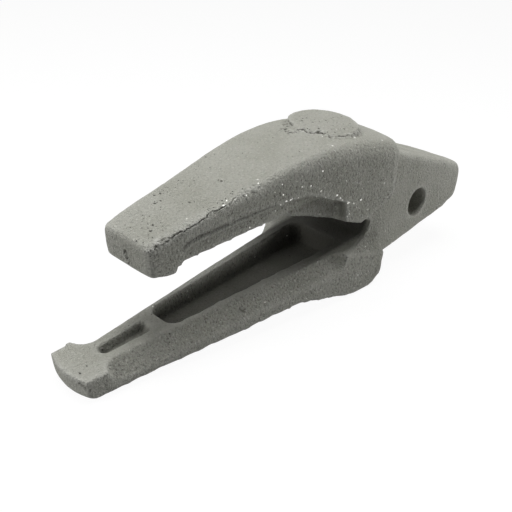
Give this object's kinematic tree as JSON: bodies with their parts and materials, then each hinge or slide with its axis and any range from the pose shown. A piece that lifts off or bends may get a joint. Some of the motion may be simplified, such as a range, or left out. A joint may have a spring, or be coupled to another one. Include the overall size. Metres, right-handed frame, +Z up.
{
  "type": "bucket tooth adapter",
  "caption": "Cast steel weld-on adapter with an arched upper leg, a long hollow lower leg around a lip slot, a wedge nose with a cross bore and a round boss on top.",
  "frame": {"origin": "the centre of the bore for the tooth's side pin, in the middle of the nose", "axes": "+X runs along the casting towards the nose, +Y is the bore's axis, +Z is up as the casting rests on its belly and on the lower leg's head"},
  "size_m": [0.3999, 0.0886, 0.1365],
  "materials": {
    "cast_steel": "bare sand-cast steel, grey with a faint green tint, matt and grainy"
  },
  "bodies": {
    "root": {"adapter": "cast_steel"}
  },
  "joints": []
}
